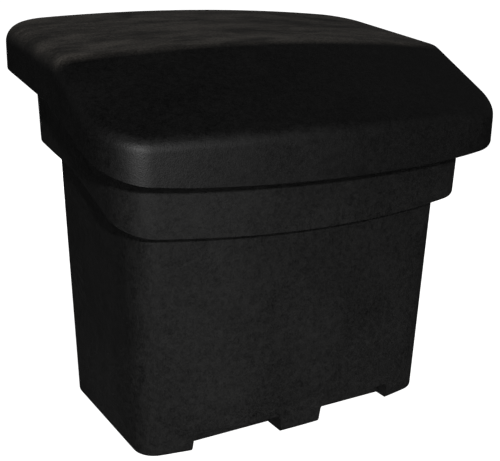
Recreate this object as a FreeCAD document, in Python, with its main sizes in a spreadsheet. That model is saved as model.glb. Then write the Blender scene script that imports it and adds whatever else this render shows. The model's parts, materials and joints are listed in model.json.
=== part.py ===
import FreeCAD, Part
import math
import os

import Sketcher
from FreeCAD import Vector

# Grit bin in roto-moulded plastic: a tapered tub on three feet front and rear, with a wider
# collar under a sloping lid. Millimetres. The front faces -Y, the origin is the middle of the
# base on the ground, and the bin is the same left and right.

SIZES = {
    # Tub, measured on the ground; the walls lean out as they rise.
    "base_half_width": 293,
    "base_front": 157,
    "base_rear": 162,
    "front_bow": 32.6,
    "draft": 2.2,
    "tub_corner": 40,
    "wall": 5,
    "base_edge": 8,
    # Collar round the top of the tub, under the lid.
    "collar_step": 27.4,
    "collar_corner": 50,
    "collar_depth": 118,
    "collar_edge": 2.5,
    "rim_width": 6,
    "rim_thickness": 5,
    "rim_gap": 1.5,
    # Lid: upright walls below a crowned roof with its ridge near the front.
    "lid_level": 560,
    "lid_overhang": 67.3,
    "lid_rear_overhang": 74,
    "lid_corner": 84,
    "lid_shoulder": 30,
    "ridge_curve": 45,
    "inner_chamfer": 22,
    "lid_lip_edge": 2,
    "ridge_place": 67,
    "ridge_rise": 89.5,
    "front_pitch": 28,
    "deck_pitch": 7.1,
    "roof_crown": 4100,
    # Lower edge of the lid, seen from the side.
    "bend_place": 17,
    "bend_height": 576,
    "bend_curve": 24,
    "rear_rise": 8.25,
    "front_fall": 19,
    "nose_place": 229.6,
    "nose_fall": 32.4,
    "nose_curve": 717,
    # Recesses between the feet.
    "recess_inner": 39,
    "corner_foot": 86,
    "recess_height": 33,
    "recess_lean": 7.5,
    "recess_round": 9,
    "recess_back": 143,
    "recess_rear_back": 125,
    # Hinges, with their moulded seats on the collar.
    "hinge_inset": 166.8,
    "hinge_drop": 1.5,
    "seat_width": 124,
    "seat_height": 58,
    "seat_lean": 38,
    "seat_gap": 4,
    "leaf_width": 90,
    "leaf_length": 47,
    "leaf_thickness": 3,
    "leaf_corner": 6,
    "knuckle_radius": 6,
    "knuckle_middle": 30,
    "knuckle_gap": 0.5,
    "pin_radius": 3,
    "pin_fit": 0.05,
    "pin_head": 4.6,
    "pin_head_length": 2,
    "stop_angle": 105,
    "stop_reach": 18,
    "stop_width": 22,
    "stop_gap": 0.3,
    # Bolts through each leaf, the wall and a plate behind it.
    "bolt_radius": 4,
    "bolt_hole": 4.3,
    "bolt_spread": 28,
    "bolt_place": 27,
    "head_flats": 13,
    "head_length": 5.3,
    "nut_length": 6.5,
    "bolt_end": 2,
    "plate_thickness": 3,
    "plate_near": 9,
    "plate_far": 45.5,
}

doc = FreeCAD.newDocument("grit_bin")
sizes = doc.addObject("Spreadsheet::Sheet", "sizes")
for row, (alias, number) in enumerate(SIZES.items(), start=1):
    sizes.set(f"A{row}", alias)
    sizes.set(f"B{row}", str(number))
    sizes.setAlias(f"B{row}", alias)
doc.recompute()


def value(expression):
    return float(sizes.evalExpression(str(expression)))


def plus(*terms):
    return " + ".join(f"({term})" for term in terms)


def minus(first, *rest):
    return " - ".join(f"({term})" for term in (first, *rest))


# Outlines and lines that several pieces share, as expressions of the sheet's values.

def spread(level):
    return f"tan(sizes.draft) * ({level})"


LID_HALF = plus("sizes.base_half_width", spread("sizes.lid_level"), "sizes.lid_overhang")
LID_FRONT = plus("sizes.base_front", spread("sizes.lid_level"), "sizes.lid_overhang")
LID_REAR = plus("sizes.base_rear", spread("sizes.lid_level"), "sizes.lid_rear_overhang")
RIDGE_HEIGHT = plus("sizes.bend_height", "sizes.ridge_rise")
ROOF_TOP = plus(RIDGE_HEIGHT, "120")
HINGE_PLACE = minus(LID_HALF, "sizes.hinge_inset")


def roof_line(place, drop):
    # Height of the roof on the centre line at a place along Y, lowered by drop.
    pitch = "front_pitch" if value(place) < -value("sizes.ridge_place") else "deck_pitch"
    return minus(plus(RIDGE_HEIGHT, f"tan(sizes.{pitch}) * (sizes.ridge_place + ({place}))"), drop)


def slope_height(point, pitch):
    # How far a point stands above the crown of one slope of the roof.
    lean = math.radians(value(pitch))
    along = point.y + value("sizes.ridge_place")
    over = math.cos(lean) * (point.z - value(RIDGE_HEIGHT)) - math.sin(lean) * along
    crown = value("sizes.roof_crown")
    return math.hypot(over + crown, point.x) - crown


def roof_heights(point):
    return slope_height(point, "sizes.front_pitch"), slope_height(point, "sizes.deck_pitch")


# The lid's lower edge at the back of the bin: it rises to the rear from the bend.
EDGE_REAR = plus("sizes.bend_height", f"tan(sizes.rear_rise) * (sizes.bend_place + {LID_REAR})")
HINGE_Y = plus(LID_REAR, "sizes.knuckle_radius")
HINGE_Z = minus(EDGE_REAR, "sizes.hinge_drop")


def origin_plane(body, role):
    return [part for part in body.Origin.OriginFeatures if part.Role == role][0]


def new_body(name):
    return doc.addObject("PartDesign::Body", name)


def new_sketch(body, name, plane, offset="0"):
    sketch = body.newObject("Sketcher::SketchObject", name)
    sketch.AttachmentSupport = (origin_plane(body, plane), [""])
    sketch.MapMode = "FlatFace"
    sketch.setExpression("AttachmentOffset.Base.z", offset)
    return sketch


def bind(sketch, kind, *items):
    # A driving dimension whose value is the expression given last.
    expression = items[-1]
    index = sketch.addConstraint(Sketcher.Constraint(kind, *items[:-1], value(expression)))
    sketch.setExpression(f"Constraints[{index}]", expression)


def fix_point(sketch, item, end, across, up):
    bind(sketch, "DistanceX", -1, 1, item, end, across)
    bind(sketch, "DistanceY", -1, 1, item, end, up)


def circle(sketch, across, up, radius):
    middle = Vector(value(across), value(up), 0)
    item = sketch.addGeometry(Part.Circle(middle, Vector(0, 0, 1), value(radius)), False)
    fix_point(sketch, item, 3, across, up)
    bind(sketch, "Radius", item, radius)


def outline(sketch, corners):
    # Closed outline of straights; a corner with a radius is rounded about its own sharp point.
    points = [Vector(value(across), value(up), 0) for across, up, radius in corners]
    radii = [value(radius) if radius else 0 for across, up, radius in corners]
    count = len(points)
    runs = [(points[(i + 1) % count] - points[i]).normalize() for i in range(count)]
    turns = []
    for i in range(count):
        before = runs[i - 1]
        after = runs[i]
        turns.append(math.atan2(before.x * after.y - before.y * after.x, before.dot(after)))
    trims = [radii[i] * math.tan(abs(turns[i]) / 2) for i in range(count)]
    lines = []
    for i in range(count):
        start = points[i] + runs[i] * trims[i]
        end = points[(i + 1) % count] - runs[i] * trims[(i + 1) % count]
        lines.append(sketch.addGeometry(Part.LineSegment(start, end), False))
    for i, (across, up, radius) in enumerate(corners):
        before = lines[i - 1]
        after = lines[i]
        if not radius:
            sketch.addConstraint(Sketcher.Constraint("Coincident", before, 2, after, 1))
            fix_point(sketch, after, 1, across, up)
            continue
        side = 1 if turns[i] > 0 else -1
        start = points[i] - runs[i - 1] * trims[i]
        middle = start + Vector(-runs[i - 1].y, runs[i - 1].x, 0) * radii[i] * side
        first = math.atan2(start.y - middle.y, start.x - middle.x)
        sweep = (first, first + turns[i]) if side > 0 else (first + turns[i], first)
        ring = Part.Circle(middle, Vector(0, 0, 1), radii[i])
        arc = sketch.addGeometry(Part.ArcOfCircle(ring, *sweep), False)
        near = 1 if side > 0 else 2
        sketch.addConstraint(Sketcher.Constraint("Tangent", before, 2, arc, near))
        sketch.addConstraint(Sketcher.Constraint("Tangent", after, 1, arc, 3 - near))
        bind(sketch, "Radius", arc, radius)
        sharp = sketch.addGeometry(Part.Point(points[i]), True)
        fix_point(sketch, sharp, 1, across, up)
        sketch.addConstraint(Sketcher.Constraint("PointOnObject", sharp, 1, before))
        sketch.addConstraint(Sketcher.Constraint("PointOnObject", sharp, 1, after))


def plan_outline(sketch, half, front, rear, corner, grow="0"):
    # Rectangle with round corners and a front that bows forward between them, grown outwards.
    radius = f"((({half}) ^ 2 + sizes.front_bow ^ 2) / (2 * sizes.front_bow))"
    grown = plus(radius, grow)
    bow_radius = value(grown)
    bow_middle = Vector(0, value(minus(radius, front, "sizes.front_bow")), 0)
    w = value(plus(half, grow))
    r = value(plus(corner, grow))
    back = value(plus(rear, grow))
    reach = bow_radius - r
    low = bow_middle.y - math.sqrt(reach * reach - (w - r) ** 2)
    lean = math.atan2(low - bow_middle.y, w - r)
    up = Vector(0, 0, 1)

    def arc(middle, radius, first, last):
        return sketch.addGeometry(Part.ArcOfCircle(Part.Circle(middle, up, radius), first, last), False)

    def line(start, end):
        return sketch.addGeometry(Part.LineSegment(Vector(*start, 0), Vector(*end, 0)), False)

    pieces = [
        arc(bow_middle, bow_radius, -math.pi - lean, lean),
        arc(Vector(w - r, low, 0), r, lean, 0),
        line((w, low), (w, back - r)),
        arc(Vector(w - r, back - r, 0), r, 0, math.pi / 2),
        line((w - r, back), (r - w, back)),
        arc(Vector(r - w, back - r, 0), r, math.pi / 2, math.pi),
        line((-w, back - r), (-w, low)),
        arc(Vector(r - w, low, 0), r, math.pi, math.pi - lean),
    ]
    for i, piece in enumerate(pieces):
        following = pieces[(i + 1) % len(pieces)]
        sketch.addConstraint(Sketcher.Constraint("Tangent", piece, 2, following, 1))
    bowed, right_side, rear_side, left_side = pieces[0], pieces[2], pieces[4], pieces[6]
    sketch.addConstraint(Sketcher.Constraint("Vertical", right_side))
    sketch.addConstraint(Sketcher.Constraint("Vertical", left_side))
    sketch.addConstraint(Sketcher.Constraint("Horizontal", rear_side))
    for rounded in pieces[1::2]:
        bind(sketch, "Radius", rounded, plus(corner, grow))
    bind(sketch, "Radius", bowed, grown)
    sketch.addConstraint(Sketcher.Constraint("PointOnObject", bowed, 3, -2))
    bind(sketch, "DistanceY", -1, 1, bowed, 3, minus(radius, front, "sizes.front_bow"))
    bind(sketch, "DistanceX", -1, 1, right_side, 1, plus(half, grow))
    bind(sketch, "DistanceX", -1, 1, left_side, 1, f"-({plus(half, grow)})")
    bind(sketch, "DistanceY", -1, 1, rear_side, 1, plus(rear, grow))


def crown_section(sketch, drop):
    # What stands above one slope, seen along it: the lower side is the roof's crown.
    crown = value("sizes.roof_crown")
    radius = value(minus("sizes.roof_crown", drop))
    wide = value(LID_HALF) + 30
    top = 500
    lean = math.acos(wide / radius)
    end = radius * math.sin(lean) - crown
    ring = Part.Circle(Vector(0, -crown, 0), Vector(0, 0, 1), radius)
    arc = sketch.addGeometry(Part.ArcOfCircle(ring, lean, math.pi - lean), False)
    left = sketch.addGeometry(Part.LineSegment(Vector(-wide, end, 0), Vector(-wide, top, 0)), False)
    far = sketch.addGeometry(Part.LineSegment(Vector(-wide, top, 0), Vector(wide, top, 0)), False)
    right = sketch.addGeometry(Part.LineSegment(Vector(wide, top, 0), Vector(wide, end, 0)), False)
    for first, second in ((left, far), (far, right)):
        sketch.addConstraint(Sketcher.Constraint("Coincident", first, 2, second, 1))
    sketch.addConstraint(Sketcher.Constraint("Coincident", right, 2, arc, 1))
    sketch.addConstraint(Sketcher.Constraint("Coincident", arc, 2, left, 1))
    sketch.addConstraint(Sketcher.Constraint("Vertical", left))
    sketch.addConstraint(Sketcher.Constraint("Vertical", right))
    sketch.addConstraint(Sketcher.Constraint("Horizontal", far))
    bind(sketch, "DistanceX", -1, 1, left, 1, minus("-30", LID_HALF))
    bind(sketch, "DistanceX", -1, 1, right, 1, plus("30", LID_HALF))
    bind(sketch, "DistanceY", -1, 1, far, 1, str(top))
    bind(sketch, "Radius", arc, minus("sizes.roof_crown", drop))
    sketch.addConstraint(Sketcher.Constraint("PointOnObject", arc, 3, -2))
    bind(sketch, "DistanceY", -1, 1, arc, 3, "-sizes.roof_crown")


# Features.

def plan_loft(body, name, low, high, step, inset, corner):
    # A block with leaning walls; step and corner are those of its outline on the ground.
    sketches = []
    for word, level in (("low", low), ("high", high)):
        sketch = new_sketch(body, f"{name}_{word}", "XY_Plane", level)
        outward = [plus(f"sizes.{word}", step) for word in ("base_half_width", "base_front", "base_rear")]
        plan_outline(sketch, *outward, corner, plus(spread(level), f"-({inset})"))
        sketches.append(sketch)
    feature = body.newObject("PartDesign::AdditiveLoft", name)
    feature.Profile = sketches[0]
    feature.Sections = sketches[1:]
    feature.Ruled = True
    return feature


def pad(body, name, sketch, length, reverse=False, middle=False):
    feature = body.newObject("PartDesign::Pad", name)
    feature.Profile = sketch
    feature.setExpression("Length", length)
    feature.Reversed = reverse
    if middle:
        feature.SideType = "Symmetric"
    return feature


def pocket(body, name, sketch, length, reverse=False, middle=False):
    # A cut that has to take some material away.
    doc.recompute()
    before = body.Shape.Volume
    feature = body.newObject("PartDesign::Pocket", name)
    feature.Profile = sketch
    feature.setExpression("Length", length)
    feature.Reversed = reverse
    if middle:
        feature.SideType = "Symmetric"
    doc.recompute()
    if not body.Shape.Volume < before - 1:
        raise ValueError(f"{name} cuts nothing")
    return feature


def edge_points(edge):
    first = edge.FirstParameter
    step = (edge.LastParameter - first) / 4
    return [edge.valueAt(first + step * part) for part in range(5)]


def soften(body, name, kind, size, wanted):
    # Fillet or chamfer of every edge whose points all pass the test.
    doc.recompute()
    base = body.Tip
    names = []
    for number, edge in enumerate(base.Shape.Edges, start=1):
        if all(wanted(point) for point in edge_points(edge)):
            names.append(f"Edge{number}")
    if not names:
        raise ValueError(f"{name} finds no edge")
    feature = body.newObject(f"PartDesign::{kind}", name)
    feature.Base = (base, names)
    feature.setExpression("Radius" if kind == "Fillet" else "Size", size)
    doc.recompute()
    return feature


def roof_cut(body, name, drop):
    # Takes away what stands above the two slopes of the roof, each lowered squarely by drop.
    for word in ("front", "deck"):
        sketch = new_sketch(body, f"{name}_{word}_section", "XZ_Plane", "sizes.ridge_place")
        pitch = f"sizes.{word}_pitch"
        turn = FreeCAD.Rotation(Vector(1, 0, 0), value(pitch))
        place = Vector(0, value(RIDGE_HEIGHT), value("sizes.ridge_place"))
        sketch.AttachmentOffset = FreeCAD.Placement(place, turn)
        sketch.setExpression("AttachmentOffset.Base.y", RIDGE_HEIGHT)
        sketch.setExpression("AttachmentOffset.Rotation.Angle", pitch)
        crown_section(sketch, drop)
        pocket(body, f"{name}_{word}", sketch, f"8 * ({LID_REAR})", middle=True)


def under_cut(body, name, drop, floor):
    # Takes away what lies between a floor and the straight lines of the roof, lowered by drop.
    rear_end = plus(LID_REAR, "60")
    front_end = minus("-60", LID_FRONT, "sizes.front_bow")
    sketch = new_sketch(body, f"{name}_line", "YZ_Plane")
    outline(sketch, [
        (rear_end, roof_line(rear_end, drop), None),
        ("-sizes.ridge_place", roof_line("-sizes.ridge_place", drop), None),
        (front_end, roof_line(front_end, drop), None),
        (front_end, floor, None),
        (rear_end, floor, None),
    ])
    pocket(body, name, sketch, f"2 * ({LID_HALF}) + 40", middle=True)


# Lower edge of the lid in side view, lowered by drop: the collar's lower edge runs the same way.

def parting_corners(drop, floor):
    rear_end = plus(LID_REAR, "60")
    nose_run = minus("sizes.nose_place", "sizes.bend_place")
    nose_height = minus("sizes.bend_height", f"tan(sizes.front_fall) * ({nose_run})")
    front_end = plus(LID_FRONT, "sizes.front_bow", "60")
    front_height = minus(nose_height, f"tan(sizes.nose_fall) * ({front_end} - sizes.nose_place)")
    rear_height = plus("sizes.bend_height", f"tan(sizes.rear_rise) * ({rear_end} + sizes.bend_place)")
    return [
        (rear_end, minus(rear_height, drop), None),
        ("-sizes.bend_place", minus("sizes.bend_height", drop), "sizes.bend_curve"),
        ("-sizes.nose_place", minus(nose_height, drop), "sizes.nose_curve"),
        (f"-({front_end})", minus(front_height, drop), None),
        (f"-({front_end})", floor, None),
        (rear_end, floor, None),
    ]


def parting_height(y, drop=0):
    # The same line without its two curves, near enough to find edges by.
    bend = -value("sizes.bend_place")
    nose = -value("sizes.nose_place")
    height = value("sizes.bend_height") - drop
    if y > bend:
        return height + math.tan(math.radians(value("sizes.rear_rise"))) * (y - bend)
    height -= math.tan(math.radians(value("sizes.front_fall"))) * (bend - max(y, nose))
    return height - math.tan(math.radians(value("sizes.nose_fall"))) * max(nose - y, 0)


def on_lower_edge(drop, side, front, rear):
    # On the line of the parting, and on the outside of a form with that outline.
    low = value(drop)
    wide = value(side)
    back = value(rear) - 3
    forward = -value(front)

    def wanted(point):
        outside = abs(point.x) > wide or point.y > back or point.y < forward
        return outside and abs(point.z - parting_height(point.y, low)) < 9

    return wanted


def parting_cut(body, name, drop, floor):
    sketch = new_sketch(body, f"{name}_line", "YZ_Plane")
    outline(sketch, parting_corners(drop, floor))
    return pocket(body, name, sketch, f"2 * ({LID_HALF}) + 40", middle=True)


# Bolts: two on each leaf.

def bolt_places(side, up):
    middle = f"{side} * ({HINGE_PLACE})"
    height = plus(HINGE_Z, f"{up} * sizes.bolt_place")
    return [(plus(middle, f"{sign} * sizes.bolt_spread"), height) for sign in ("-1", "1")]


def bolt_holes(body, name, up):
    sketch = new_sketch(body, f"{name}_circles", "XZ_Plane", f"-({plus(LID_REAR, '1')})")
    for side in ("-1", "1"):
        for across, height in bolt_places(side, up):
            circle(sketch, across, height, "sizes.bolt_hole")
    pocket(body, name, sketch, "4 * sizes.wall", reverse=True)


# Lid.

def lid_block(name, inset):
    body = new_body(name)
    sketch = new_sketch(body, f"{name}_plan", "XY_Plane", "300")
    outward = [minus(size, inset) for size in (LID_HALF, LID_FRONT, LID_REAR, "sizes.lid_corner")]
    plan_outline(sketch, *outward)
    pad(body, f"{name}_block", sketch, minus(ROOF_TOP, "300"))
    roof_cut(body, f"{name}_roof", inset)
    return body


def on_ridge(point):
    return all(abs(height) < 0.2 for height in roof_heights(point))


def on_roof_outline(inset):
    low = -value(inset)
    side = value(LID_HALF) - value(inset)
    rear = value(LID_REAR) - value("sizes.lid_corner")
    front = -value("sizes.ridge_place") - 60

    def wanted(point):
        if not (side - abs(point.x) < 0.2 or point.y > rear or point.y < front):
            return False
        return -8 < max(roof_heights(point)) - low < 0.2

    return wanted


lid_outer = lid_block("lid_outer", "0")
soften(lid_outer, "lid_ridge", "Fillet", "sizes.ridge_curve", on_ridge)
soften(lid_outer, "lid_shoulder", "Fillet", "sizes.lid_shoulder", on_roof_outline("0"))
parting_cut(lid_outer, "lid_parting", "0", "200")
lip_side = minus(LID_HALF, "sizes.lid_corner")
lip_line = on_lower_edge("0", lip_side, minus(LID_FRONT, "20"), LID_REAR)
soften(lid_outer, "lid_lip", "Chamfer", "sizes.lid_lip_edge", lip_line)
bolt_holes(lid_outer, "lid_bolt_holes", 1)
lid_inner = lid_block("lid_inner", "sizes.wall")
soften(lid_inner, "lid_inner_chamfer", "Chamfer", "sizes.inner_chamfer", on_roof_outline("sizes.wall"))
lid = doc.addObject("Part::Cut", "lid")
lid.Base = lid_outer
lid.Tool = lid_inner

# Tub.

RIM_GROW = plus("sizes.collar_step", "sizes.rim_width")
RIM_HALF = plus("sizes.base_half_width", RIM_GROW, spread(RIDGE_HEIGHT))
CROWN_FALL = f"(sizes.roof_crown - sqrt(sizes.roof_crown ^ 2 - ({RIM_HALF}) ^ 2))"
UNDER_LID = plus(f"(sizes.wall + {CROWN_FALL}) / cos(sizes.front_pitch)", "sizes.rim_gap")


def recess_corners(side, grow):
    # One recess in the front view: open at the ground, leaning in towards its rounded top.
    lean = f"tan(sizes.recess_lean) * (sizes.recess_height + ({grow}) + 20)"
    inner_low = minus("sizes.recess_inner", grow, "tan(sizes.recess_lean) * 20")
    outer_low = plus("sizes.base_half_width - sizes.corner_foot", grow, "tan(sizes.recess_lean) * 20")
    top = plus("sizes.recess_height", grow)
    radius = plus("sizes.recess_round", grow)
    return [
        (f"{side} * ({inner_low})", "-20", None),
        (f"{side} * ({outer_low})", "-20", None),
        (f"{side} * ({minus(outer_low, lean)})", top, radius),
        (f"{side} * ({plus(inner_low, lean)})", top, radius),
    ]


def recesses(body, name, grow):
    ends = (("front", "sizes.recess_back", True), ("rear", "sizes.recess_rear_back", False))
    for end, back, reverse in ends:
        place = minus(back, grow)
        for word, side in (("left", "-1"), ("right", "1")):
            offset = place if end == "front" else f"-({place})"
            sketch = new_sketch(body, f"{name}_{end}_{word}_outline", "XZ_Plane", offset)
            outline(sketch, recess_corners(side, grow))
            pocket(body, f"{name}_{end}_{word}", sketch, "200", reverse=reverse)


def seats(body, name, inset):
    # Moulded blocks on the back of the collar that carry the hinges flush with the lid.
    top = minus(EDGE_REAR, "sizes.seat_gap", inset)
    bottom = minus(top, "sizes.seat_height", f"-2 * ({inset})")
    face = minus(LID_REAR, inset)
    root = minus(LID_REAR, "110")
    slope = f"tan(sizes.seat_lean) * ({minus(face, root)})"
    for word, side in (("left", "-1"), ("right", "1")):
        start = minus(f"{side} * ({HINGE_PLACE})", "sizes.seat_width / 2", f"-({inset})")
        sketch = new_sketch(body, f"{name}_{word}_side", "YZ_Plane", start)
        low_root = minus(bottom, slope)
        corners = [(root, top, None), (root, low_root, None), (face, bottom, None), (face, top, None)]
        outline(sketch, corners)
        pad(body, f"{name}_{word}", sketch, minus("sizes.seat_width", f"2 * ({inset})"))


def on_ground(point):
    return abs(point.z) < 0.01


tub_outer = new_body("tub_outer")
plan_loft(tub_outer, "rim", "300", ROOF_TOP, RIM_GROW, "0", "sizes.collar_corner + sizes.rim_width")
under_cut(tub_outer, "rim_under", plus(UNDER_LID, "sizes.rim_thickness"), "200")
plan_loft(tub_outer, "collar", "300", ROOF_TOP, "sizes.collar_step", "0", "sizes.collar_corner")
parting_cut(tub_outer, "collar_under", "sizes.collar_depth", "200")
collar_side = plus("sizes.base_half_width", "sizes.collar_step", "-sizes.collar_corner")
collar_front = plus("sizes.base_front", "sizes.collar_step")
collar_rear = plus("sizes.base_rear", "sizes.collar_step", spread("sizes.lid_level - sizes.collar_depth"))
collar_line = on_lower_edge("sizes.collar_depth", collar_side, collar_front, collar_rear)
soften(tub_outer, "collar_lower_edge", "Chamfer", "sizes.collar_edge", collar_line)
plan_loft(tub_outer, "tub_wall", "0", ROOF_TOP, "0", "0", "sizes.tub_corner")
soften(tub_outer, "tub_base_edge", "Fillet", "sizes.base_edge", on_ground)
seats(tub_outer, "seat", "0")
roof_cut(tub_outer, "rim_top", "sizes.wall + sizes.rim_gap")
recesses(tub_outer, "recess", "0")
bolt_holes(tub_outer, "tub_bolt_holes", -1)

tub_inner = new_body("tub_inner")
inner_collar = ("300", ROOF_TOP, "sizes.collar_step", "sizes.wall", "sizes.collar_corner")
plan_loft(tub_inner, "inner_collar", *inner_collar)
parting_cut(tub_inner, "inner_collar_under", minus("sizes.collar_depth", "sizes.wall"), "200")
plan_loft(tub_inner, "inner_wall", "sizes.wall", ROOF_TOP, "0", "sizes.wall", "sizes.tub_corner")
seats(tub_inner, "inner_seat", "sizes.wall")
recesses(tub_inner, "inner_recess", "sizes.wall")
tub = doc.addObject("Part::Cut", "tub")
tub.Base = tub_outer
tub.Tool = tub_inner

# Hinges: a leaf on the seat, a leaf on the back of the lid, and a pin with riveted ends.

def leaf(name, side, up):
    body = new_body(name)
    middle = f"{side} * ({HINGE_PLACE})"
    half = "sizes.leaf_width / 2"
    far = f"{up} * sizes.leaf_length"
    sketch = new_sketch(body, f"{name}_outline", "XZ_Plane", f"-({LID_REAR})")
    top = plus(HINGE_Z, far)
    corners = [
        (minus(middle, half), HINGE_Z, None),
        (plus(middle, half), HINGE_Z, None),
        (plus(middle, half), top, "sizes.leaf_corner"),
        (minus(middle, half), top, "sizes.leaf_corner"),
    ]
    outline(sketch, corners)
    for across, height in bolt_places(side, up):
        circle(sketch, across, height, "sizes.bolt_hole")
    pad(body, f"{name}_plate", sketch, "sizes.leaf_thickness", reverse=True)
    return body


def knuckle(body, name, start, length):
    sketch = new_sketch(body, f"{name}_ring", "YZ_Plane", start)
    circle(sketch, HINGE_Y, HINGE_Z, "sizes.knuckle_radius")
    pad(body, name, sketch, length)


def pin_bore(body, name, side):
    sketch = new_sketch(body, f"{name}_circle", "YZ_Plane", f"{side} * ({HINGE_PLACE})")
    circle(sketch, HINGE_Y, HINGE_Z, "sizes.pin_radius + sizes.pin_fit")
    pocket(body, name, sketch, "2 * sizes.leaf_width", middle=True)


def clear_knuckle(body, name, side, up, start, length):
    # Room in a leaf for the other leaf's knuckle.
    middle = f"{side} * ({HINGE_PLACE})"
    sketch = new_sketch(body, f"{name}_side", "YZ_Plane", plus(middle, start))
    near = "sizes.knuckle_radius + sizes.knuckle_gap"
    outline(sketch, [
        (minus(HINGE_Y, near, "5"), plus(HINGE_Z, f"{up} * ({near})"), None),
        (minus(HINGE_Y, near, "5"), minus(HINGE_Z, f"{up} * ({near})"), None),
        (plus(HINGE_Y, near), minus(HINGE_Z, f"{up} * ({near})"), None),
        (plus(HINGE_Y, near), plus(HINGE_Z, f"{up} * ({near})"), None),
    ])
    pocket(body, name, sketch, length, reverse=True)


def stop_tongue(body, name, side):
    # A tongue bent out below the middle knuckle; the lid's leaf comes down on its tip.
    middle = f"{side} * ({HINGE_PLACE})"
    sketch = new_sketch(body, f"{name}_side", "YZ_Plane", minus(middle, "sizes.stop_width / 2"))
    face = "(sizes.knuckle_radius - sizes.leaf_thickness)"
    reach = "cos(sizes.stop_angle) * sizes.stop_reach"
    tip = f"(({reach} + {face}) / sin(sizes.stop_angle) - sizes.stop_gap)"
    root = "-1.5 * sizes.knuckle_radius"
    outline(sketch, [
        (minus(HINGE_Y, "sizes.knuckle_radius"), plus(HINGE_Z, root), None),
        (minus(HINGE_Y, "sizes.knuckle_radius"), plus(HINGE_Z, root, "-sizes.leaf_thickness"), None),
        (plus(HINGE_Y, "sizes.stop_reach"), plus(HINGE_Z, tip, "-sizes.leaf_thickness"), None),
        (plus(HINGE_Y, "sizes.stop_reach"), plus(HINGE_Z, tip), None),
    ])
    pad(body, name, sketch, "sizes.stop_width")


outer_knuckle = "(sizes.leaf_width / 2 - sizes.knuckle_middle / 2 - sizes.knuckle_gap)"
hinge_bodies = []
for word, side in (("left", "-1"), ("right", "1")):
    middle = f"{side} * ({HINGE_PLACE})"
    room = plus("sizes.knuckle_middle", "2 * sizes.knuckle_gap")
    tub_leaf = leaf(f"hinge_{word}_tub_leaf", side, -1)
    clear_knuckle(tub_leaf, f"{word}_middle_room", side, 1, f"-({room}) / 2", room)
    knuckle(tub_leaf, f"{word}_tub_knuckle_a", minus(middle, "sizes.leaf_width / 2"), outer_knuckle)
    second = plus(middle, "sizes.knuckle_middle / 2", "sizes.knuckle_gap")
    knuckle(tub_leaf, f"{word}_tub_knuckle_b", second, outer_knuckle)
    stop_tongue(tub_leaf, f"{word}_stop", side)
    pin_bore(tub_leaf, f"{word}_tub_bore", side)
    lid_leaf = leaf(f"hinge_{word}_lid_leaf", side, 1)
    end_room = plus(outer_knuckle, "2 * sizes.knuckle_gap")
    left_end = minus("-sizes.leaf_width / 2", "sizes.knuckle_gap")
    for end, start in (("a", left_end), ("b", "sizes.knuckle_middle / 2")):
        clear_knuckle(lid_leaf, f"{word}_end_room_{end}", side, -1, start, end_room)
    middle_start = minus(middle, "sizes.knuckle_middle / 2")
    knuckle(lid_leaf, f"{word}_lid_knuckle", middle_start, "sizes.knuckle_middle")
    pin_bore(lid_leaf, f"{word}_lid_bore", side)
    pin = new_body(f"hinge_{word}_pin")
    shank = new_sketch(pin, f"{word}_pin_shank", "YZ_Plane", middle)
    circle(shank, HINGE_Y, HINGE_Z, "sizes.pin_radius")
    pad(pin, f"{word}_pin_rod", shank, "sizes.leaf_width + 0.4", middle=True)
    for end, sign in (("a", "-1"), ("b", "1")):
        start = plus(middle, f"{sign} * (sizes.leaf_width / 2 + 0.2)")
        head = new_sketch(pin, f"{word}_pin_head_{end}", "YZ_Plane", start)
        circle(head, HINGE_Y, HINGE_Z, "sizes.pin_head")
        pad(pin, f"{word}_pin_rivet_{end}", head, "sizes.pin_head_length", reverse=sign == "-1")
    hinge_bodies += [tub_leaf, lid_leaf, pin]

# Plates inside the wall, bolts from the back and nuts inside.

plates = []
for word, side in (("left", "-1"), ("right", "1")):
    for owner, up in (("tub", -1), ("lid", 1)):
        name = f"hinge_{word}_{owner}_plate"
        plate = new_body(name)
        inside = minus(LID_REAR, "sizes.wall")
        sketch = new_sketch(plate, f"{name}_outline", "XZ_Plane", f"-({inside})")
        middle = f"{side} * ({HINGE_PLACE})"
        near = plus(HINGE_Z, f"{up} * sizes.plate_near")
        far = plus(HINGE_Z, f"{up} * sizes.plate_far")
        outline(sketch, [
            (minus(middle, "sizes.leaf_width / 2"), near, "sizes.leaf_corner"),
            (plus(middle, "sizes.leaf_width / 2"), near, "sizes.leaf_corner"),
            (plus(middle, "sizes.leaf_width / 2"), far, "sizes.leaf_corner"),
            (minus(middle, "sizes.leaf_width / 2"), far, "sizes.leaf_corner"),
        ])
        for across, height in bolt_places(side, up):
            circle(sketch, across, height, "sizes.bolt_hole")
        pad(plate, f"{name}_sheet", sketch, "sizes.plate_thickness")
        plates.append(plate)


def hexagons(body, name, up, offset):
    sketch = new_sketch(body, name, "XZ_Plane", offset)
    for side in ("-1", "1"):
        for across, height in bolt_places(side, up):
            corners = []
            for step in range(6):
                turn = 60 * step + 30
                reach = "sizes.head_flats / sqrt(3)"
                sideways = plus(across, f"{reach} * cos({turn})")
                corners.append((sideways, plus(height, f"{reach} * sin({turn})"), None))
            outline(sketch, corners)
    return sketch


def circles(body, name, up, offset, radius):
    sketch = new_sketch(body, name, "XZ_Plane", offset)
    for side in ("-1", "1"):
        for across, height in bolt_places(side, up):
            circle(sketch, across, height, radius)
    return sketch


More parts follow.
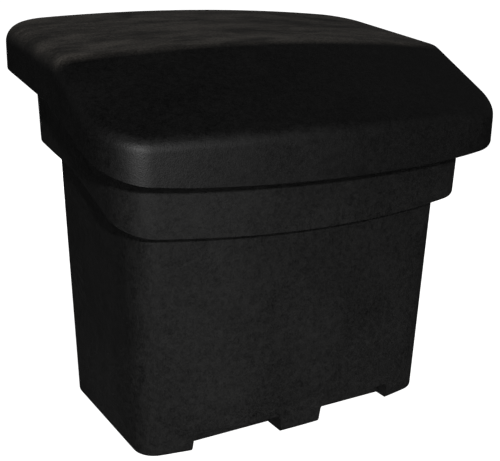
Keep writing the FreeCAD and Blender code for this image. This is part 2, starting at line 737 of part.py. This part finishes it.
outer_face = plus(LID_REAR, "sizes.leaf_thickness")
inner_face = minus(LID_REAR, "sizes.wall", "sizes.plate_thickness")
fasteners = []
for owner, up in (("tub", -1), ("lid", 1)):
    bolts = new_body(f"{owner}_hinge_bolts")
    bolts.AllowCompound = True
    heads = hexagons(bolts, f"{owner}_bolt_heads", up, f"-({outer_face})")
    pad(bolts, f"{owner}_heads", heads, "sizes.head_length", reverse=True)
    shanks = circles(bolts, f"{owner}_bolt_shanks", up, f"-({outer_face})", "sizes.bolt_radius")
    grip = minus(outer_face, inner_face)
    pad(bolts, f"{owner}_shanks", shanks, plus(grip, "sizes.nut_length", "sizes.bolt_end"))
    nuts = new_body(f"{owner}_hinge_nuts")
    nuts.AllowCompound = True
    flats = hexagons(nuts, f"{owner}_nut_flats", up, f"-({inner_face})")
    pad(nuts, f"{owner}_nuts", flats, "sizes.nut_length")
    bores = circles(nuts, f"{owner}_nut_bores", up, f"-({inner_face})", "sizes.bolt_radius + 0.05")
    pocket(nuts, f"{owner}_threads", bores, "2 * sizes.nut_length", reverse=True)
    fasteners += [bolts, nuts]

doc.recompute()

NODES = [tub, lid] + hinge_bodies + plates + fasteners
for item in doc.Objects:
    if "Invalid" in item.State or "Error" in item.State:
        raise ValueError(f"{item.Name} is in state {item.State}")
for node in NODES:
    node.Label = node.Name
    if node.Shape.isNull() or not node.Shape.isValid():
        raise ValueError(f"{node.Label} has no sound shape")
    box = node.Shape.BoundBox
    print(node.Label, len(node.Shape.Solids), round(node.Shape.Volume / 1000, 2), "cm3",
          [round(number, 1) for number in (box.XMin, box.XMax, box.YMin, box.YMax, box.ZMin, box.ZMax)])

os.makedirs("parts", exist_ok=True)
for node in NODES:
    node.Shape.exportStep(f"parts/{node.Label}.step")
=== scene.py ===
import json
import math

import bmesh
import bpy
from mathutils import Matrix, Vector

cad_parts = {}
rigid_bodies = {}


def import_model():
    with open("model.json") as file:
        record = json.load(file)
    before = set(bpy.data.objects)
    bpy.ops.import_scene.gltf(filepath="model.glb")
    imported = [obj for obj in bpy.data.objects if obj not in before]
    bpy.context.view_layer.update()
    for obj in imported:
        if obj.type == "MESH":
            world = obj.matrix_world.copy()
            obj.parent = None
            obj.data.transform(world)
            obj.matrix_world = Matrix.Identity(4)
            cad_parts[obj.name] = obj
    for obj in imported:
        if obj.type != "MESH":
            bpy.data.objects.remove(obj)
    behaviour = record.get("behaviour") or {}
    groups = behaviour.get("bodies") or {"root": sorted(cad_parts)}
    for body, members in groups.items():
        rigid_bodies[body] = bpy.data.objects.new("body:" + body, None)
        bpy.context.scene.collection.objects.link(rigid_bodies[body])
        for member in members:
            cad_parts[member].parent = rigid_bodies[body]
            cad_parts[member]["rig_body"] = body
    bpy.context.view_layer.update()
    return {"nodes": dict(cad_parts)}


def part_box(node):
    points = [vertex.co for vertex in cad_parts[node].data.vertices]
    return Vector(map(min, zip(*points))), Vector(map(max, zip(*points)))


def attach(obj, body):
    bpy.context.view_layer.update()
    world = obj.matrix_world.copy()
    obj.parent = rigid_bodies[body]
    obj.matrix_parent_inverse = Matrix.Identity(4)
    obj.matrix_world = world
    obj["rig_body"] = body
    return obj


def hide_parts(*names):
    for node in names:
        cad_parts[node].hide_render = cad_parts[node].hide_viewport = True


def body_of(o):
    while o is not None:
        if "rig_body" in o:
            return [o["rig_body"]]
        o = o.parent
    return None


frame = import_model()
nodes = frame["nodes"]


# The camera looks from the photograph's angle.

cameraSetup = {
    "azimuth": -30.813,  # degrees round the bin from straight in front
    "elevation": 16.322,
    "roll": 1.118,
    "distance": 1.66822,
    "target": (-0.00076, 0.0, 0.31498),
    "lens": 64.8,
    "sensorWidth": 36,
    "shiftX": 0.00186,
}


def cameraAxes(setup):
    # Right, up and back, turned by the roll.
    azimuth = math.radians(setup["azimuth"])
    elevation = math.radians(setup["elevation"])
    roll = math.radians(setup["roll"])
    back = Vector((
        math.sin(azimuth) * math.cos(elevation),
        -math.cos(azimuth) * math.cos(elevation),
        math.sin(elevation),
    ))
    right = (-back).cross(Vector((0, 0, 1))).normalized()
    up = right.cross(-back)
    turnedRight = right * math.cos(roll) + up * math.sin(roll)
    turnedUp = up * math.cos(roll) - right * math.sin(roll)
    return turnedRight, turnedUp, back


def addCamera(setup):
    data = bpy.data.cameras.new("camera")
    data.sensor_width = setup["sensorWidth"]
    data.lens = setup["lens"]
    data.shift_x = setup["shiftX"]
    camera = bpy.data.objects.new("camera", data)
    right, up, back = cameraAxes(setup)
    place = Matrix((right, up, back)).transposed().to_4x4()
    place.translation = Vector(setup["target"]) + back * setup["distance"]
    camera.matrix_world = place
    bpy.context.scene.collection.objects.link(camera)
    bpy.context.scene.camera = camera


addCamera(cameraSetup)
print("camera set")


# Short forms of the shader nodes in use.


def newMaterial(name):
    material = bpy.data.materials.new(name)
    material.use_nodes = True
    tree = material.node_tree
    tree.nodes.clear()
    shader = tree.nodes.new("ShaderNodeBsdfPrincipled")
    output = tree.nodes.new("ShaderNodeOutputMaterial")
    tree.links.new(shader.outputs["BSDF"], output.inputs["Surface"])
    return material, tree, shader


def feed(tree, socket, item):
    # Gives a socket another node's output, a colour or a number.
    if isinstance(item, bpy.types.NodeSocket):
        tree.links.new(item, socket)
    elif isinstance(item, tuple):
        socket.default_value = (*item, 1)
    else:
        socket.default_value = item


def objectPlace(tree, scale=(1, 1, 1), turn=(0, 0, 0)):
    coordinates = tree.nodes.new("ShaderNodeTexCoord")
    mapping = tree.nodes.new("ShaderNodeMapping")
    mapping.inputs["Scale"].default_value = scale
    mapping.inputs["Rotation"].default_value = turn
    tree.links.new(coordinates.outputs["Object"], mapping.inputs["Vector"])
    return mapping.outputs["Vector"]


def axisValue(tree, vector, axis):
    node = tree.nodes.new("ShaderNodeSeparateXYZ")
    tree.links.new(vector, node.inputs["Vector"])
    return node.outputs[axis]


def noise(tree, place, pattern):
    node = tree.nodes.new("ShaderNodeTexNoise")
    node.inputs["Scale"].default_value = 1 / pattern["size"]
    node.inputs["Detail"].default_value = pattern["detail"]
    node.inputs["Roughness"].default_value = pattern["roughness"]
    tree.links.new(place, node.inputs["Vector"])
    return node.outputs["Fac"]


def remap(tree, value, span, ends=(0, 1)):
    # The span becomes the ends, which hold beyond it.
    node = tree.nodes.new("ShaderNodeMapRange")
    for socket, number in zip(("From Min", "From Max", "To Min", "To Max"), (*span, *ends)):
        node.inputs[socket].default_value = number
    tree.links.new(value, node.inputs["Value"])
    return node.outputs["Result"]


def combine(tree, kind, first, second):
    node = tree.nodes.new("ShaderNodeMath")
    node.operation = kind
    feed(tree, node.inputs[0], first)
    feed(tree, node.inputs[1], second)
    return node.outputs["Value"]


def mixColour(tree, amount, low, high):
    node = tree.nodes.new("ShaderNodeMix")
    node.data_type = "RGBA"
    feed(tree, node.inputs["Factor"], amount)
    feed(tree, node.inputs["A"], low)
    feed(tree, node.inputs["B"], high)
    return node.outputs["Result"]


def bump(tree, height, distance, before=None):
    node = tree.nodes.new("ShaderNodeBump")
    node.inputs["Strength"].default_value = 1.0
    node.inputs["Distance"].default_value = distance
    tree.links.new(height, node.inputs["Height"])
    if before is not None:
        tree.links.new(before, node.inputs["Normal"])
    return node.outputs["Normal"]


# Black moulded plastic of the tub and the lid. Sizes and heights are in metres.

plasticLook = {
    "clouds": {"size": 0.12, "detail": 5, "roughness": 0.6, "span": (0.30, 0.70), "share": 0.22},
    "blotches": {"size": 0.0105, "detail": 2, "roughness": 0.6, "span": (0.34, 0.66), "share": 0.30},
    "specks": {"size": 0.0032, "detail": 2, "roughness": 0.7, "span": (0.36, 0.64), "share": 0.48},
    "scuffs": {"size": 0.011, "detail": 6, "roughness": 0.65, "span": (0.60, 0.74)},
    "scuffStretch": (1, 1, 0.16),
    "scuffTurn": (0.0, 0.35, 0.0),  # radians
    "scuffDulling": 0.10,
    "waves": {"size": 0.16, "detail": 1, "roughness": 0.4, "height": 0.0008},
    "peel": {"size": 0.0055, "detail": 2, "roughness": 0.5, "height": 0.00026},
    "grain": {"size": 0.0021, "detail": 2, "roughness": 0.5, "height": 0.00020},
    "refraction": 1.5,
}

tubLook = {
    **plasticLook,
    "dark": (0.0022, 0.0022, 0.0023),
    "light": (0.0178, 0.0176, 0.0172),
    "roughness": (0.50, 0.62),
    "patchiness": 0.025,
}

lidDustAndSheen = {  # dust on the deck behind the ridge; its light colour is partly painted sheen
    "colour": (0.1000, 0.0900, 0.0785),
    "ridgeHeight": 0.6655,
    "ridgePlace": -0.067,
    "ridgeFade": (-0.012, 0.006),  # in front of the ridge and behind it
    "deckPitch": 7.1,  # degrees
    "deckCrown": 4.1,  # radius
    "deckFade": (-0.030, -0.001),  # depth below the deck
    "facingUp": (0.10, 0.75),  # slope of the surface, 1 being level
    "drift": {"size": 0.13, "detail": 7, "roughness": 0.70, "span": (0.37, 0.62)},
    "driftStretch": (1, 2.8, 1),
    "driftCover": (0.24, 0.95),
    "speckCover": (0.50, 1.35),
}

lidLook = {
    **plasticLook,
    # Darker tones than the tub's plastic; this darkness is partly painted shade on the lid.
    "dark": (0.0006, 0.0006, 0.0007),
    "light": (0.0082, 0.0081, 0.0080),
    "roughness": (0.49, 0.58),
    "patchiness": 0.05,
    "peel": {**plasticLook["peel"], "height": 0.00016},
    "grain": {**plasticLook["grain"], "height": 0.00032},
    "wallLean": 0.10,  # the upright walls catch light as if they leaned in a little
    "dustAndSheen": lidDustAndSheen,
}


def mottling(tree, place, look):
    # Clouds, blotches and specks, each from 0 to 1.
    layers = {}
    for name in ("clouds", "blotches", "specks"):
        layers[name] = remap(tree, noise(tree, place, look[name]), look[name]["span"])
    return layers


def plasticTone(tree, layers, look):
    tone = 0.0
    for name, layer in layers.items():
        tone = combine(tree, "ADD", tone, combine(tree, "MULTIPLY", layer, look[name]["share"]))
    return tone


def deckDepth(tree, place, dustAndSheen):
    # How far a point stands above the crowned deck.
    lean = math.radians(dustAndSheen["deckPitch"])
    x, y, z = (axisValue(tree, place, axis) for axis in "XYZ")
    rise = combine(tree, "MULTIPLY", combine(tree, "SUBTRACT", z, dustAndSheen["ridgeHeight"]), math.cos(lean))
    run = combine(tree, "MULTIPLY", combine(tree, "SUBTRACT", y, dustAndSheen["ridgePlace"]), math.sin(lean))
    crown = combine(tree, "DIVIDE", combine(tree, "MULTIPLY", x, x), 2 * dustAndSheen["deckCrown"])
    return combine(tree, "ADD", combine(tree, "SUBTRACT", rise, run), crown)


def onDeck(tree, place, dustAndSheen):
    # 1 on the deck's upper face, 0 in front of the ridge, on walls and on undersides.
    ridgeFade = [dustAndSheen["ridgePlace"] + fade for fade in dustAndSheen["ridgeFade"]]
    behindRidge = remap(tree, axisValue(tree, place, "Y"), ridgeFade)
    atTop = remap(tree, deckDepth(tree, place, dustAndSheen), dustAndSheen["deckFade"])
    normal = tree.nodes.new("ShaderNodeTexCoord").outputs["Normal"]
    facingUp = remap(tree, axisValue(tree, normal, "Z"), dustAndSheen["facingUp"])
    return combine(tree, "MULTIPLY", combine(tree, "MULTIPLY", atTop, behindRidge), facingUp)


# Dust streaks on the deck; their lightness is partly painted sheen.
def dustAndSheenCover(tree, place, specks, dustAndSheen):
    drift = noise(tree, objectPlace(tree, dustAndSheen["driftStretch"]), dustAndSheen["drift"])
    streaks = remap(tree, drift, dustAndSheen["drift"]["span"], dustAndSheen["driftCover"])
    streaks = combine(tree, "MULTIPLY", streaks, remap(tree, specks, (0, 1), dustAndSheen["speckCover"]))
    return combine(tree, "MULTIPLY", onDeck(tree, place, dustAndSheen), streaks)


def plasticRoughness(tree, layers, look):
    scuffs = noise(tree, objectPlace(tree, look["scuffStretch"], look["scuffTurn"]), look["scuffs"])
    scuffs = remap(tree, scuffs, look["scuffs"]["span"], (0, look["scuffDulling"]))
    smudges = remap(tree, layers["clouds"], (0, 1), look["roughness"])
    patches = combine(tree, "SUBTRACT", combine(tree, "ADD", layers["blotches"], layers["specks"]), 1.0)
    smudges = combine(tree, "ADD", smudges, combine(tree, "MULTIPLY", patches, look["patchiness"]))
    return combine(tree, "ADD", smudges, scuffs)


def plasticRelief(tree, place, look):
    # Waves of the mould, then its peel and grain.
    normal = bump(tree, noise(tree, place, look["waves"]), look["waves"]["height"])
    if "wallLean" in look:
        lean = combine(tree, "MULTIPLY", axisValue(tree, place, "Z"), -look["wallLean"])
        normal = bump(tree, lean, 1.0, normal)
    for name in ("peel", "grain"):
        normal = bump(tree, noise(tree, place, look[name]), look[name]["height"], normal)
    return normal


def blackPlastic(name, look):
    material, tree, shader = newMaterial(name)
    place = objectPlace(tree)
    layers = mottling(tree, place, look)
    colour = mixColour(tree, plasticTone(tree, layers, look), look["dark"], look["light"])
    # The deck is lightened with the dust colour, which is partly painted sheen standing in for the light
    # the deck catches.
    if "dustAndSheen" in look:
        dustAndSheenAmount = dustAndSheenCover(tree, place, layers["specks"], look["dustAndSheen"])
        colour = mixColour(tree, dustAndSheenAmount, colour, look["dustAndSheen"]["colour"])
    feed(tree, shader.inputs["Base Color"], colour)
    feed(tree, shader.inputs["Roughness"], plasticRoughness(tree, layers, look))
    feed(tree, shader.inputs["Normal"], plasticRelief(tree, place, look))
    feed(tree, shader.inputs["IOR"], look["refraction"])
    return material


# Stainless steel of the hinges, the plates and the fasteners.

steelStains = {"size": 0.011, "detail": 5, "roughness": 0.65, "span": (0.32, 0.68)}

steelLooks = {
    "hinge_steel": {
        "dark": (0.30, 0.30, 0.29),
        "light": (0.54, 0.54, 0.53),
        "roughness": (0.56, 0.40),  # from the dark places to the light ones
        "stretch": (0.05, 1, 1),  # brushed along X
        "strokes": {"size": 0.0008, "detail": 3, "roughness": 0.6, "height": 0.00005},
    },
    "plate_steel": {
        "dark": (0.30, 0.30, 0.30),
        "light": (0.50, 0.50, 0.49),
        "roughness": (0.62, 0.42),
        "stretch": (1, 1, 0.15),
        "strokes": {"size": 0.0020, "detail": 3, "roughness": 0.6, "height": 0.00004},
    },
    "fastener_steel": {
        "dark": (0.38, 0.38, 0.37),
        "light": (0.62, 0.62, 0.61),
        "roughness": (0.46, 0.30),
        "stretch": (1, 1, 1),
        "strokes": {"size": 0.0012, "detail": 3, "roughness": 0.6, "height": 0.00003},
    },
}


def stainlessSteel(name, look):
    material, tree, shader = newMaterial(name)
    stains = remap(tree, noise(tree, objectPlace(tree), steelStains), steelStains["span"])
    strokes = noise(tree, objectPlace(tree, look["stretch"]), look["strokes"])
    brightness = combine(tree, "MULTIPLY", combine(tree, "ADD", stains, strokes), 0.5)
    feed(tree, shader.inputs["Base Color"], mixColour(tree, stains, look["dark"], look["light"]))
    feed(tree, shader.inputs["Roughness"], remap(tree, brightness, (0, 1), look["roughness"]))
    feed(tree, shader.inputs["Normal"], bump(tree, strokes, look["strokes"]["height"]))
    feed(tree, shader.inputs["Metallic"], 1.0)
    return material


skins = {
    "tub_plastic": blackPlastic("tub_plastic", tubLook),
    "lid_plastic": blackPlastic("lid_plastic", lidLook),
}
for slot, look in steelLooks.items():
    skins[slot] = stainlessSteel(slot, look)
print("materials made:", ", ".join(skins))


# Grooves of the bolts' threads, as rings.

boltThread = {
    "pitch": 0.00125,
    "length": 0.009,  # from the free end
    "endChamfer": 0.0008,
    "coreRadius": 0.0034,
    "headFlats": 0.013,
    "spread": 0.056,  # between the two bolts of a leaf
}


def boltAxes(node, thread):
    # A point on each of the four axes in a node, which run along Y.
    low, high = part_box(node.name)
    outer = high[0] - thread["headFlats"] / 2
    inner = outer - thread["spread"]
    height = (low[2] + high[2]) / 2
    return [Vector((side * across, 0, height)) for side in (-1, 1) for across in (outer, inner)]


def drawIn(vert, axes, radius):
    # Moves a point to a radius from the axis nearest to it.
    offsets = [vert.co - axis for axis in axes]
    spokes = [Vector((offset.x, 0, offset.z)) for offset in offsets]
    spoke = min(spokes, key=lambda item: item.length)
    vert.co -= spoke * (1 - radius / spoke.length)


def cutThread(form, node, thread):
    # Cuts half a pitch apart, of which every second one is drawn in.
    axes = boltAxes(node, thread)
    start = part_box(node.name)[0][1] + thread["endChamfer"]
    for ring in range(int(2 * thread["length"] / thread["pitch"])):
        everything = form.verts[:] + form.edges[:] + form.faces[:]
        place = (0, start + ring * thread["pitch"] / 2, 0)
        cut = bmesh.ops.bisect_plane(form, geom=everything, dist=1e-7, plane_co=place, plane_no=(0, 1, 0))
        if ring % 2 == 0:
            continue
        for part in cut["geom_cut"]:
            if isinstance(part, bmesh.types.BMVert):
                drawIn(part, axes, thread["coreRadius"])


# Every piece again, with its sharp edges softened.

softened = {  # by the last word of the piece's name; edges past the sharp angle get a round of this width
    "lid": {"slot": "lid_plastic", "edge": 0.0012, "sharp": 24, "segments": 3},
    "tub": {"slot": "tub_plastic", "edge": 0.0014, "sharp": 24, "segments": 3},
    "leaf": {"slot": "hinge_steel", "edge": 0.0005, "sharp": 40, "segments": 2},
    "pin": {"slot": "hinge_steel", "edge": 0.0009, "sharp": 40, "segments": 3},
    "plate": {"slot": "plate_steel", "edge": 0.0004, "sharp": 40, "segments": 2},
    "bolts": {"slot": "fastener_steel", "edge": 0.0006, "sharp": 40, "segments": 2, "thread": boltThread},
    "nuts": {"slot": "fastener_steel", "edge": 0.0005, "sharp": 40, "segments": 2},
}

meshing = {
    "mergeWithin": 0.00002,  # metres
    "flatWithin": 0.4,  # degrees
    "largestFace": 4,  # corners
    "shadingWeight": 100,
}


def mergedForm(node):
    # The piece's triangles joined up, with those of a flat face made one.
    form = bmesh.new()
    form.from_mesh(node.data)
    bmesh.ops.remove_doubles(form, verts=form.verts[:], dist=meshing["mergeWithin"])
    flat = math.radians(meshing["flatWithin"])
    bmesh.ops.dissolve_limit(form, angle_limit=flat, verts=form.verts[:], edges=form.edges[:])
    return form


def isSharp(edge, degrees):
    return len(edge.link_faces) == 2 and edge.calc_face_angle(0) > math.radians(degrees)


def softenEdges(form, piece):
    sharp = [edge for edge in form.edges if isSharp(edge, piece["sharp"])]
    bmesh.ops.bevel(form, geom=sharp, offset=piece["edge"], offset_type="OFFSET", affect="EDGES",
                    segments=piece["segments"], profile=0.5, clamp_overlap=True, material=-1)
    return len(sharp)


def meshOf(form, name):
    large = [face for face in form.faces if len(face.verts) > meshing["largestFace"]]
    bmesh.ops.triangulate(form, faces=large)
    for face in form.faces:
        face.smooth = True
    data = bpy.data.meshes.new(name)
    form.to_mesh(data)
    form.free()
    return data


def softenedCopy(name, node, piece):
    form = mergedForm(node)
    sharpCount = softenEdges(form, piece)
    if "thread" in piece:
        cutThread(form, node, piece["thread"])
    data = meshOf(form, name)
    data.materials.append(skins[piece["slot"]])
    made = bpy.data.objects.new(name, data)
    bpy.context.scene.collection.objects.link(made)
    weighted = made.modifiers.new("even_shading", "WEIGHTED_NORMAL")
    weighted.keep_sharp = True
    weighted.weight = meshing["shadingWeight"]
    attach(made, body_of(node)[0])
    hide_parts(node.name)
    print(name, len(data.polygons), "faces,", sharpCount, "edges softened")


for name, node in nodes.items():
    piece = softened[name.split("_")[-1]]
    node.data.materials.clear()
    node.data.materials.append(skins[piece["slot"]])
    softenedCopy(f"{name}_soft", node, piece)


# Floor and light.

studio = {
    "paper": (0.90, 0.90, 0.89),
    "paperInGloss": (0.06, 0.06, 0.06),
    "paperRoughness": 0.9,
    "paperLift": 0.95,  # what the camera sees of the floor above its shaded tone
    "floorSize": 30.0,
    "paperGlow": 0.8,  # what the floor round the bin throws back at it
    "glowFade": (0.5, 1.1),  # metres from the middle
    "fill": (0.20, 0.22),  # soft light from near the horizon, and from overhead
    "fillHeights": (0.1, 0.7),  # heights of the sky are from 0 to 1
    "gloss": (0.012, 0.06),  # what the plastic mirrors from most of the sky, and from half way up
    "glossRise": (0.05, 0.38),
    "glossFall": (0.52, 0.78),
}

lights = {
    "key": {
        "place": (-0.91, -2.14, 1.27),
        "aim": (-0.1, -0.1, 0.45),
        "size": (0.12, 0.12),
        "power": 27,
    },
    "back": {
        "place": (0.58, 2.25, 0.42),
        "aim": (0.1, 0.2, 0.4),
        "size": (1.6, 0.6),
        "power": 14,
    },
}


def floorPaper(setup):
    material, tree, shader = newMaterial("floor_paper")
    rays = tree.nodes.new("ShaderNodeLightPath").outputs
    tone = mixColour(tree, rays["Is Glossy Ray"], setup["paper"], setup["paperInGloss"])
    lift = combine(tree, "MULTIPLY", rays["Is Camera Ray"], setup["paperLift"])
    place = objectPlace(tree)
    x, y = (axisValue(tree, place, axis) for axis in "XY")
    square = combine(tree, "ADD", combine(tree, "MULTIPLY", x, x), combine(tree, "MULTIPLY", y, y))
    reach = combine(tree, "POWER", square, 0.5)
    nearby = remap(tree, reach, setup["glowFade"], (setup["paperGlow"], 0))
    glow = combine(tree, "MULTIPLY", rays["Is Diffuse Ray"], nearby)
    feed(tree, shader.inputs["Base Color"], tone)
    feed(tree, shader.inputs["Roughness"], setup["paperRoughness"])
    feed(tree, shader.inputs["Specular IOR Level"], 0.0)
    feed(tree, shader.inputs["Emission Color"], (1, 1, 1))
    feed(tree, shader.inputs["Emission Strength"], combine(tree, "ADD", lift, glow))
    return material


def addFloor(setup):
    data = bpy.data.meshes.new("floor")
    form = bmesh.new()
    bmesh.ops.create_grid(form, x_segments=1, y_segments=1, size=setup["floorSize"])
    form.to_mesh(data)
    form.free()
    data.materials.append(floorPaper(setup))
    floor = bpy.data.objects.new("floor", data)
    bpy.context.scene.collection.objects.link(floor)


def addWorld(setup):
    # The sky lights the bin softly, and gloss mirrors a darker one.
    world = bpy.data.worlds.new("studio")
    world.use_nodes = True
    tree = world.node_tree
    sky = tree.nodes.new("ShaderNodeTexCoord").outputs["Generated"]
    height = axisValue(tree, sky, "Z")
    soft = remap(tree, height, setup["fillHeights"], setup["fill"])
    rising = remap(tree, height, setup["glossRise"], setup["gloss"])
    falling = remap(tree, height, setup["glossFall"], (1, 0))
    choose = tree.nodes.new("ShaderNodeMix")
    feed(tree, choose.inputs["Factor"], tree.nodes.new("ShaderNodeLightPath").outputs["Is Glossy Ray"])
    feed(tree, choose.inputs["A"], soft)
    feed(tree, choose.inputs["B"], combine(tree, "MULTIPLY", rising, falling))
    background = tree.nodes["Background"]
    feed(tree, background.inputs["Strength"], choose.outputs["Result"])
    feed(tree, background.inputs["Color"], (1, 1, 1))
    bpy.context.scene.world = world


def addLight(name, setup):
    data = bpy.data.lights.new(name, "AREA")
    data.shape = "RECTANGLE"
    data.size, data.size_y = setup["size"]
    data.energy = setup["power"]
    light = bpy.data.objects.new(name, data)
    light.visible_camera = False
    light.location = setup["place"]
    direction = Vector(setup["aim"]) - Vector(setup["place"])
    light.rotation_euler = direction.to_track_quat("-Z", "Y").to_euler()
    bpy.context.scene.collection.objects.link(light)


addFloor(studio)
addWorld(studio)
for name, setup in lights.items():
    addLight(name, setup)
bpy.context.scene.view_settings.view_transform = "Standard"
print("floor and light set")
